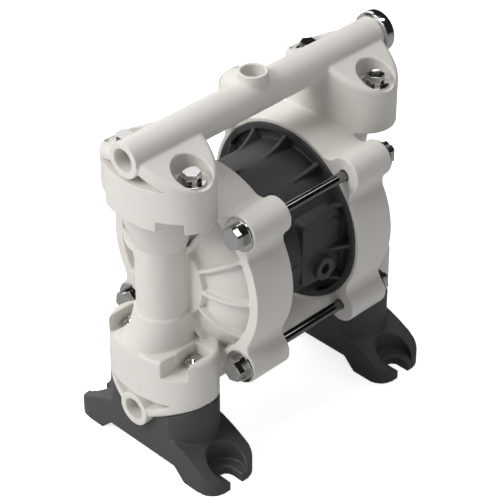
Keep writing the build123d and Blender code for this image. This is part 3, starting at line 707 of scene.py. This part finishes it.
class Bench:
    """A bmesh in which bolts, washers and rings are turned one after the other."""

    def __init__(self) -> None:
        """Start with nothing made."""
        self.work = bmesh.new()

    def turn(self, place: Matrix, outline: Outline, steps: int = 48, angle: float = 360.0) -> list:
        """Spin an outline about a place's own Z.

        Args:
            place: Where the outline's own origin and axis lie.
            outline: Points as radius and height, closed where the last is the first.
            steps: How many flats go round.
            angle: How far round it goes, in degrees.

        Returns:
            The first and the last profile's points.
        """
        closed = outline[0] == outline[-1]
        points = outline[:-1] if closed else outline
        verts = [self.work.verts.new(place @ Vector((x, 0.0, z))) for x, z in points]
        edges = [self.work.edges.new(pair) for pair in zip(verts, verts[1:])]
        if closed:
            edges.append(self.work.edges.new((verts[-1], verts[0])))
        made = bmesh.ops.spin(
            self.work,
            geom=[*verts, *edges],
            cent=place.translation,
            axis=place.to_3x3() @ Vector((0, 0, 1)),
            dvec=(0, 0, 0),
            angle=math.radians(angle),
            steps=steps,
            use_merge=angle == 360.0,
            use_duplicate=False,
        )
        last = [item for item in made["geom_last"] if isinstance(item, bmesh.types.BMVert)]
        return [verts, last]

    def hexagon(self, place: Matrix, flats: float, height: float, edge: float) -> None:
        """Stand a hexagonal prism on a place, with fine bevels.

        Args:
            place: The middle of its foot, with its axis along Z and a corner towards Y.
            flats: Its width across the flats.
            height: How tall it is.
            edge: The width of its bevels.
        """
        made = bmesh.ops.create_cone(
            self.work,
            cap_ends=True,
            segments=6,
            radius1=flats / math.sqrt(3),
            radius2=flats / math.sqrt(3),
            depth=height,
            matrix=place @ Matrix.Translation((0, 0, height / 2)),
        )
        edges = {line for vert in made["verts"] for line in vert.link_edges}
        bmesh.ops.bevel(
            self.work,
            geom=list(edges),
            offset=edge,
            offset_type="OFFSET",
            segments=2,
            profile=0.5,
            affect="EDGES",
            clamp_overlap=True,
            material=-1,
        )

    def finish(self, name: str, sharp_angle: float = 18.0) -> bpy.types.Object:
        """Close the bench's mesh into an object.

        Args:
            name: The object's name.
            sharp_angle: Edges bent more than this stay sharp, in degrees.

        Returns:
            The object, at the origin.
        """
        bmesh.ops.remove_doubles(self.work, verts=self.work.verts, dist=0.000001)
        bmesh.ops.recalc_face_normals(self.work, faces=self.work.faces)
        mesh = bpy.data.meshes.new(name)
        self.work.to_mesh(mesh)
        self.work.free()
        piece = link_mesh(name, mesh)
        piece.data.shade_smooth()
        piece.data.set_sharp_from_angle(angle=math.radians(sharp_angle))
        return piece


@dataclass(frozen=True)
class HexBolt:
    """A hexagon bolt with a rolled thread on its end."""

    flats: float
    head: float
    radius: float
    length: float
    threaded: float
    pitch: float = 0.001
    edge: float = 0.0003
    steps: int = 24
    thread_depth: float = 0.45
    thread_root: float = 0.5
    thread_crest: float = 0.95

    def place(self, bench: Bench, seat: Matrix, turn: float = 0.0) -> None:
        """Model the whole bolt on its seat.

        Args:
            bench: Where it is made.
            seat: The middle of the face under its head.
            turn: How far the bolt is turned, in degrees.
        """
        self.place_head(bench, seat, turn)
        self.place_shank(bench, seat)

    def place_head(self, bench: Bench, seat: Matrix, turn: float = 0.0) -> None:
        """Model the head behind its seat.

        Args:
            bench: Where it is made.
            seat: The middle of the face under the head.
            turn: How far the bolt is turned, in degrees.
        """
        turned = seat @ Matrix.Rotation(math.radians(turn), 4, "Z")
        bench.hexagon(
            turned @ Matrix.Translation((0, 0, -self.head)), self.flats, self.head, self.edge
        )

    def place_shank(self, bench: Bench, seat: Matrix) -> None:
        """Model the shank and its thread along the seat's Z.

        Args:
            bench: Where it is made.
            seat: The middle of the face under the head.
        """
        outline = [(self.radius, 0.0), (self.radius, self.length - self.threaded)]
        root = self.radius - self.pitch * self.thread_depth
        turns = int(self.threaded / self.pitch)
        for index in range(turns):
            start = self.length - self.threaded + index * self.pitch
            outline.append((root, start + self.pitch * self.thread_root))
            outline.append((self.radius, start + self.pitch * self.thread_crest))
        outline[-1] = (root, self.length)
        outline.append((0.0, self.length))
        bench.turn(seat, outline, self.steps)


@dataclass(frozen=True)
class HexNut:
    """A hexagon nut, closed by the bolt that runs through it."""

    flats: float
    height: float
    edge: float = 0.0003

    def place(self, bench: Bench, seat: Matrix, turn: float = 0.0) -> None:
        """Model the nut on its seat.

        Args:
            bench: Where it is made.
            seat: The middle of its foot.
            turn: How far it is turned, in degrees.
        """
        turned = seat @ Matrix.Rotation(math.radians(turn), 4, "Z")
        bench.hexagon(turned, self.flats, self.height, self.edge)


@dataclass(frozen=True)
class FlatWasher:
    """A stamped washer: its upper edge is rounded and its lower edge crisp."""

    radius: float
    bore: float
    thickness: float
    edge: float = 0.00035
    corner_share: float = 0.3
    steps: int = 64

    def place(self, bench: Bench, seat: Matrix) -> None:
        """Model the washer with its lower face on the seat.

        Args:
            bench: Where it is made.
            seat: The middle of its lower face.
        """
        corner = self.edge * self.corner_share
        bench.turn(seat, [
            (self.bore, 0.0),
            (self.radius - corner, 0.0),
            (self.radius, corner),
            (self.radius, self.thickness - self.edge),
            (self.radius - corner, self.thickness - corner),
            (self.radius - self.edge, self.thickness),
            (self.bore + corner, self.thickness),
            (self.bore, self.thickness - corner),
            (self.bore, 0.0),
        ], self.steps)


def along_x(x: float, y: float, z: float, way: int = 1) -> Matrix:
    """Make a place for what points along X.

    Args:
        x: Its place along X.
        y: Its place along Y.
        z: Its height.
        way: 1 where it points along +X, -1 along -X.

    Returns:
        A place whose own Z points along X and whose own Y points up.
    """
    across = Vector((0.0, float(way), 0.0))
    axes = Matrix((across, Vector((0, 0, 1)), Vector((way, 0, 0)))).transposed()
    return Matrix.Translation((x, y, z)) @ axes.to_4x4()


def along_z(x: float, y: float, z: float, way: int = 1) -> Matrix:
    """Return a place whose own Z points up or down."""
    upright = Matrix.Translation((x, y, z))
    return upright if way > 0 else upright @ Matrix.Rotation(math.pi, 4, "X")


def middles(node: str, parts: int) -> list[Vector]:
    """Return the middles of a CAD node's separate solids.

    Args:
        node: The CAD node.
        parts: How many solids it has.

    Returns:
        One middle for each solid, in order of X, then Y, then Z.
    """
    work = bmesh.new()
    work.from_mesh(frame["nodes"][node].data)
    bmesh.ops.remove_doubles(work, verts=work.verts, dist=CAD_DOUBLES)
    left, found = set(work.verts), []
    while left:
        island, queue = [], [left.pop()]
        while queue:
            vert = queue.pop()
            island.append(vert.co.copy())
            for line in vert.link_edges:
                other = line.other_vert(vert)
                if other in left:
                    left.remove(other)
                    queue.append(other)
        low = Vector(tuple(min(co[axis] for co in island) for axis in range(3)))
        high = Vector(tuple(max(co[axis] for co in island) for axis in range(3)))
        found.append((low + high) / 2)
    work.free()
    if len(found) != parts:
        raise ValueError(f"{node} has {len(found)} solids")
    return sorted(found, key=lambda co: tuple(round(part, 4) for part in co))


@dataclass
class Manifolds:
    """The discharge and the suction manifold."""

    lower_joint: float
    upper_joint: float
    corner_y: tuple[float, float] = (0.009, 0.016)
    corner_x: tuple[float, float] = (0.048, 0.096)
    corner_passes: int = 6

    def build(self, wardrobe: Wardrobe) -> None:
        """Round both mouldings, more where the tube runs into the sloping ends.

        Args:
            wardrobe: Gives them their finish.
        """
        corner = SoftZone(self.beside_tube, self.corner_passes)
        for node, joint in (
            ("discharge_manifold", self.upper_joint), ("suction_manifold", self.lower_joint)
        ):
            Moulding(node, Finish.WHITE, joints=(joint,), zones=[corner]).build(wardrobe)

    def beside_tube(self, place: Vector) -> bool:
        """Tell whether a point lies in the corner between the tube and a sloping end."""
        in_y = self.corner_y[0] < abs(place.y) < self.corner_y[1]
        return in_y and self.corner_x[0] < abs(place.x) < self.corner_x[1]


@dataclass
class FluidEnds:
    """Both fluid caps with their columns and flanges."""

    lower_joint: float
    upper_joint: float
    flange_half_x: float = 0.0262
    flange_half_y: float = 0.04
    lower_flange: float = 0.0177
    shoulder_reach: tuple[float, float] = (-0.003, 0.004)
    shoulder_half_y: float = 0.019
    shoulder_passes: int = 8

    def build(self, wardrobe: Wardrobe) -> None:
        """Round both caps and keep their flange joints crisp.

        Args:
            wardrobe: Gives them their finish.
        """
        for node in ("fluid_cap_left", "fluid_cap_right"):
            side = -1 if node.endswith("left") else 1
            column_x = side * (abs(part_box(node)[side > 0][0]) - self.flange_half_x)
            joint = OvalJoint(
                self.lower_joint, column_x, self.flange_half_x, self.flange_half_y
            )
            zones = [SoftZone(self.shoulder, self.shoulder_passes)]
            Moulding(
                node,
                Finish.WHITE,
                joints=(self.upper_joint,),
                oval_joint=joint,
                zones=zones,
            ).build(wardrobe)

    def shoulder(self, place: Vector) -> bool:
        """Tell whether a point is on the lower flange's shoulder between the nut slots."""
        above = place.z - self.lower_joint - self.lower_flange
        in_height = self.shoulder_reach[0] < above < self.shoulder_reach[1]
        return in_height and abs(place.y) < self.shoulder_half_y


@dataclass
class DarkMouldings:
    """The centre body and the two saddle feet."""

    drum_voxel: float = 0.0005

    def build(self, wardrobe: Wardrobe) -> None:
        """Round the three dark mouldings.

        Args:
            wardrobe: Gives them their finish.
        """
        Moulding("centre_body", Finish.DRUM, self.drum_voxel).build(wardrobe)
        for node in ("foot_left", "foot_right"):
            Moulding(node, Finish.FOOT).build(wardrobe)


@dataclass
class ClampFasteners:
    """The four tie bolts with their washers and nuts."""

    flats: float = 0.013
    head: float = 0.0065
    radius: float = 0.003175
    threaded: float = 0.024
    washer_radius: float = 0.0105
    washer_bore: float = 0.0033
    washer_thickness: float = 0.0016
    turns: tuple[float, ...] = (15.0, 0.0, 8.0, 22.0)

    def build(self, wardrobe: Wardrobe) -> None:
        """Model the bolts, nuts and washers where the frame has them.

        Args:
            wardrobe: Gives them their finish.
        """
        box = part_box("tie_bolts")
        seat_x = box[0][0] + self.head
        bolt = HexBolt(
            self.flats, self.head, self.radius, box[1][0] - seat_x, self.threaded
        )
        places = middles("tie_bolts", 4)
        heads, shanks, nuts, washers = Bench(), Bench(), Bench(), Bench()
        nut = HexNut(self.flats, self.head)
        washer = FlatWasher(self.washer_radius, self.washer_bore, self.washer_thickness)
        for middle, turn in zip(places, self.turns):
            bolt.place_head(heads, along_x(seat_x, middle.y, middle.z), turn)
            bolt.place_shank(shanks, along_x(seat_x, middle.y, middle.z))
            nut.place(nuts, along_x(-seat_x, middle.y, middle.z), -turn)
        for middle in middles("tie_bolt_washers", 8):
            way = 1 if middle.x > 0 else -1
            start = middle.x - way * self.washer_thickness / 2
            washer.place(washers, along_x(start, middle.y, middle.z, way))
        for node, name, bench, finish in (
            ("tie_bolts", "tie_bolt_heads", heads, Finish.BRIGHT),
            # The shanks take the steel darkened as painted dark reflection
            ("tie_bolts", "tie_bolt_shanks", shanks, Finish.SHANK_PAINTED_DARK),
            ("tie_bolt_nuts", "tie_bolt_nuts_turned", nuts, Finish.BRIGHT),
            ("tie_bolt_washers", "tie_bolt_washers_turned", washers, Finish.BRIGHT),
        ):
            piece = bench.finish(name)
            wardrobe.dress(piece, finish)
            stand_for(piece, node)


@dataclass
class JointFasteners:
    """Bolts, washers and square nuts of the manifold and the foot joints."""

    flats: float = 0.01
    head: float = 0.006
    radius: float = 0.003
    threaded: float = 0.018
    washer_bore: float = 0.0032
    washer_thickness: float = 0.0016
    turns: tuple[float, ...] = (12.0, 40.0, 15.0, 5.0)
    nut_bevel: float = 0.0004

    def build(self, wardrobe: Wardrobe) -> None:
        """Model both sets of bolts and washers, and dress the square nuts.

        Args:
            wardrobe: Gives them their finish.
        """
        self.build_set(wardrobe, "manifold", -1)
        self.build_set(wardrobe, "foot", 1)

    def build_set(self, wardrobe: Wardrobe, joint: str, way: int) -> None:
        """Model one joint's fasteners.

        Args:
            wardrobe: Gives them their finish.
            joint: The joint, as its nodes' names begin.
            way: The way that the bolts point, up or down.
        """
        low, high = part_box(f"{joint}_bolts")
        seat_z = high[2] - self.head if way < 0 else low[2] + self.head
        end_z = low[2] if way < 0 else high[2]
        bolt = HexBolt(self.flats, self.head, self.radius, abs(end_z - seat_z), self.threaded)
        bolts, washers = Bench(), Bench()
        for middle, turn in zip(middles(f"{joint}_bolts", 4), self.turns):
            bolt.place(bolts, along_z(middle.x, middle.y, seat_z, way), turn)
        low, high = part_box(f"{joint}_washers")
        places = middles(f"{joint}_washers", 4)
        radius = high[0] - places[-1].x
        washer = FlatWasher(radius, self.washer_bore, self.washer_thickness)
        for middle in places:
            start = middle.z + way * self.washer_thickness / 2
            washer.place(washers, along_z(middle.x, middle.y, start, -way))
        for node, bench in ((f"{joint}_bolts", bolts), (f"{joint}_washers", washers)):
            piece = bench.finish(f"{node}_turned")
            wardrobe.dress(piece, Finish.BRIGHT)
            stand_for(piece, node)
        Machined(f"{joint}_nuts", Finish.BRIGHT, self.nut_bevel).build(wardrobe)


@dataclass
class PortPlugs:
    """Bright plugs in the ports that aren't used."""

    bevel: float = 0.0005
    segments: int = 3

    def build(self, wardrobe: Wardrobe) -> None:
        """Bevel and plate the four plugs.

        Args:
            wardrobe: Gives them their finish.
        """
        for node in (
            "discharge_port_plug", "suction_port_plug", "side_port_plug", "suction_side_plug"
        ):
            Machined(node, Finish.CHROME, self.bevel, self.segments).build(wardrobe)


@dataclass
class BallValves:
    """The four balls and their seats."""

    seat_bevel: float = 0.0003

    def build(self, wardrobe: Wardrobe) -> None:
        """Dress each ball and seat.

        Args:
            wardrobe: Gives them their finish.
        """
        for port in ("suction", "discharge"):
            for side in ("left", "right"):
                Machined(f"{port}_ball_{side}", Finish.BALL, 0.0).build(wardrobe)
                Machined(f"{port}_seat_{side}", Finish.SEAT, self.seat_bevel).build(wardrobe)
        Machined("seat_o_rings", Finish.RUBBER, 0.0).build(wardrobe)


@dataclass
class DiaphragmDrive:
    """Shaft, plates, bearings, pilot rod and the two diaphragms."""

    shaft_z: float = 0.1225
    sectors: int = 12
    hub_radius: float = 0.0046
    fixed_inside: float = 0.0315
    fixed_outside: float = 0.0445
    roll_height: float = 0.0016
    roll_inset: float = 0.001
    roll_steps: int = 12
    rim_bevel: float = 0.0005
    sector_flats: int = 5
    sharp_angle: float = 40.0
    shaft_bevel: float = 0.0004
    plate_bevel: float = 0.0003

    def build(self, wardrobe: Wardrobe) -> None:
        """Dress the drive and model both diaphragms.

        Args:
            wardrobe: Gives them their finish.
        """
        Machined("shaft", Finish.SHAFT, self.shaft_bevel).build(wardrobe)
        Machined("pilot_rod", Finish.SHAFT).build(wardrobe)
        Machined("shaft_seals", Finish.RUBBER).build(wardrobe)
        for side in ("left", "right"):
            Machined(f"shaft_bush_{side}", Finish.BRONZE).build(wardrobe)
            Machined(f"pilot_bush_{side}", Finish.BRONZE).build(wardrobe)
            Machined(f"inner_plate_{side}", Finish.ALUMINIUM).build(wardrobe)
            Machined(f"outer_plate_{side}", Finish.PLATE, self.plate_bevel).build(wardrobe)
            self.build_diaphragm(side, wardrobe)

    def profile(self, thickness: float, radius: float) -> Outline:
        """Return a diaphragm's section, with a low roll between its plates and its rim.

        Args:
            thickness: The disc's thickness.
            radius: The disc's radius.

        Returns:
            Points as radius and height, closed.
        """
        inner, outer = self.fixed_inside + self.roll_inset, self.fixed_outside - self.roll_inset
        upper, lower = [], []
        for index in range(self.roll_steps + 1):
            share = index / self.roll_steps
            reach = inner + (outer - inner) * share
            swell = self.roll_height * math.sin(math.pi * share) ** 2
            upper.append((reach, thickness + swell))
            lower.append((reach, swell))
        bevel = self.rim_bevel
        rim = [
            (radius - bevel, 0.0), (radius, bevel),
            (radius, thickness - bevel), (radius - bevel, thickness),
        ]
        hub = (self.hub_radius, 0.0)
        return [hub, *lower, *rim, *reversed(upper), (self.hub_radius, thickness), hub]

    def build_diaphragm(self, side: str, wardrobe: Wardrobe) -> None:
        """Model one diaphragm as sectors that run from the shaft to the rim.

        Args:
            side: Left or right.
            wardrobe: Gives it its finish.
        """
        node = f"diaphragm_{side}"
        low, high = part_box(node)
        way = 1 if side == "right" else -1
        start = low[0] if way > 0 else high[0]
        outline = self.profile(high[0] - low[0], (high[1] - low[1]) / 2)
        step = 360.0 / self.sectors
        for index in range(self.sectors):
            turn = Matrix.Rotation(math.radians(index * step), 4, "Z")
            place = along_x(start, 0.0, self.shaft_z, way) @ turn
            bench = Bench()
            for rim in bench.turn(place, outline, self.sector_flats, step):
                bench.work.faces.new(rim)
            piece = bench.finish(f"{node}_sector_{index + 1}", self.sharp_angle)
            wardrobe.dress(piece, Finish.DIAPHRAGM)
            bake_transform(piece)
            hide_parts(node)
            slot_of_node(node)
        LOG.info("%s: %d sectors", node, self.sectors)


@dataclass
class AirValve:
    """Valve block behind the centre body, its spool, covers, screws and silencer."""

    block_bevel: float = 0.0006
    cover_bevel: float = 0.0005
    turned_bevel: float = 0.0003
    screw_bevel: float = 0.00015
    seal_bevel: float = 0.0001
    segments: int = 3

    def build(self, wardrobe: Wardrobe) -> None:
        """Dress the valve's pieces.

        Args:
            wardrobe: Gives them their finish.
        """
        Machined("valve_body", Finish.VALVE, self.block_bevel, self.segments).build(wardrobe)
        Machined("valve_gasket", Finish.RUBBER, self.seal_bevel).build(wardrobe)
        Machined("valve_spool", Finish.ALUMINIUM, self.turned_bevel).build(wardrobe)
        Machined("spool_seals", Finish.RUBBER, self.seal_bevel).build(wardrobe)
        for side in ("left", "right"):
            cover = Machined(
                f"valve_end_cap_{side}", Finish.VALVE, self.cover_bevel, self.segments
            )
            cover.build(wardrobe)
        for node in ("valve_screws", "end_cap_screws"):
            Machined(node, Finish.BRIGHT, self.screw_bevel).build(wardrobe)
        Machined("exhaust_muffler", Finish.SILENCER, self.turned_bevel).build(wardrobe)


@dataclass(frozen=True)
class SoftLamp:
    """A square soft lamp that points at the pump's middle."""

    name: str
    place: tuple[float, float, float]
    size: float
    power: float
    aim: tuple[float, float, float] = (0.0, 0.0, 0.12)

    def hang(self) -> None:
        """Add the lamp to the scene."""
        data = bpy.data.lights.new(self.name, "AREA")
        data.shape = "SQUARE"
        data.size = self.size
        data.energy = self.power
        lamp = bpy.data.objects.new(self.name, data)
        lamp.location = self.place
        way = Vector(self.aim) - Vector(self.place)
        lamp.rotation_euler = way.to_track_quat("-Z", "Y").to_euler()
        bpy.context.scene.collection.objects.link(lamp)


@dataclass
class Studio:
    """Camera, floor and soft lamps."""

    camera_place: tuple[float, float, float] = (-0.7039, -0.7014, 0.8089)
    camera_aim: tuple[float, float, float] = (0.57735, 0.57735, -0.57735)
    sensor: float = 36.0
    focal: float = 142.4
    floor_half: float = 3.0
    floor_colour: Colour = (0.9, 0.9, 0.9)
    floor_in_metal: Colour = (0.4, 0.4, 0.4)
    floor_roughness: float = 0.9
    floor_glow: float = 0.8
    floor_glow_in_metal: float = 0.05
    ambient: Colour = (0.06, 0.06, 0.06)
    walls_in_metal: tuple[tuple[float, Colour], ...] = (
        (0.0, (0.3, 0.3, 0.3)),
        (0.45, (0.02, 0.02, 0.02)),
        (0.9, (0.02, 0.02, 0.02)),
        (1.0, (0.4, 0.4, 0.4)),
    )
    lamps: tuple[SoftLamp, ...] = (
        SoftLamp("key_softbox", (-1.3, 0.5, 1.3), 1.0, 25.0),
        SoftLamp("top_softbox", (0.1, 0.2, 1.9), 1.2, 11.0),
        SoftLamp("front_softbox", (-0.6, -1.6, 0.8), 1.2, 3.6),
        SoftLamp("strip_softbox", (0.794, -0.353, 1.361), 0.34, 1.2),
        SoftLamp("back_softbox", (0.557, 1.706, 1.0), 1.7, 12.0),
    )

    def build(self) -> None:
        """Make everything that isn't part of the pump."""
        self.add_camera()
        self.add_floor()
        self.add_world()
        for lamp in self.lamps:
            lamp.hang()
        bpy.context.scene.view_settings.view_transform = "Standard"

    def add_camera(self) -> None:
        """Stand the camera where the photograph was taken from."""
        data = bpy.data.cameras.new("camera")
        data.sensor_width = self.sensor
        data.lens = self.focal
        camera = bpy.data.objects.new("camera", data)
        camera.location = self.camera_place
        camera.rotation_euler = Vector(self.camera_aim).to_track_quat("-Z", "Y").to_euler()
        bpy.context.scene.collection.objects.link(camera)
        bpy.context.scene.camera = camera

    def add_floor(self) -> None:
        """Lay a pale floor that shows white to the camera and keeps the shadow."""
        work = bmesh.new()
        bmesh.ops.create_grid(work, x_segments=1, y_segments=1, size=self.floor_half)
        mesh = bpy.data.meshes.new("floor")
        work.to_mesh(mesh)
        work.free()
        floor = link_mesh("floor", mesh)
        material, graph = new_material("pale_floor")
        seen = graph.node("ShaderNodeLightPath", {}, {}, "Is Camera Ray")
        mirrored = graph.node("ShaderNodeLightPath", {}, {}, "Is Glossy Ray")
        graph.finish({
            "Base Color": graph.blend(mirrored, self.floor_colour, self.floor_in_metal),
            "Roughness": self.floor_roughness,
            "Specular IOR Level": 0.0,
            "Emission Color": rgba(WHITE_LIGHT),
            "Emission Strength": seen * self.floor_glow + mirrored * self.floor_glow_in_metal,
        })
        floor.data.materials.append(material)

    def add_world(self) -> None:
        """Light from all round, white behind the pump and dark in bright metal."""
        world = bpy.data.worlds.new("studio")
        bpy.context.scene.world = world
        world.use_nodes = True
        graph = Graph(world.node_tree)
        camera_ray = graph.node("ShaderNodeLightPath", {}, {}, "Is Camera Ray")
        glossy_ray = graph.node("ShaderNodeLightPath", {}, {}, "Is Glossy Ray")
        direction = graph.node("ShaderNodeTexCoord", {}, {}, "Generated")
        height = graph.node("ShaderNodeSeparateXYZ", {}, {0: direction}, "Z")
        settings = {"stops": self.walls_in_metal}
        walls = graph.node("ShaderNodeValToRGB", settings, {"Fac": height * 0.5 + 0.5}, "Color")
        plain = graph.blend(camera_ray, self.ambient, WHITE_LIGHT)
        colour = graph.blend(glossy_ray, plain, walls)
        light = graph.node("ShaderNodeBackground", {}, {"Color": colour, "Strength": 1.0})
        graph.node("ShaderNodeOutputWorld", {}, {"Surface": light})


def joint_heights() -> tuple[float, float]:
    """Return the heights of the lower and the upper flange joint."""
    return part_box("suction_manifold")[1][2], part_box("discharge_manifold")[0][2]


def main() -> None:
    """Dress the pump and its studio."""
    logging.basicConfig(level=logging.INFO, format="%(message)s")
    Studio().build()
    wardrobe = Wardrobe()
    lower_joint, upper_joint = joint_heights()
    for assembly in (
        Manifolds(lower_joint, upper_joint),
        FluidEnds(lower_joint, upper_joint),
        DarkMouldings(),
        ClampFasteners(),
        JointFasteners(),
        PortPlugs(),
        BallValves(),
        DiaphragmDrive(),
        AirValve(),
    ):
        assembly.build(wardrobe)


if __name__ == "__main__":
    main()
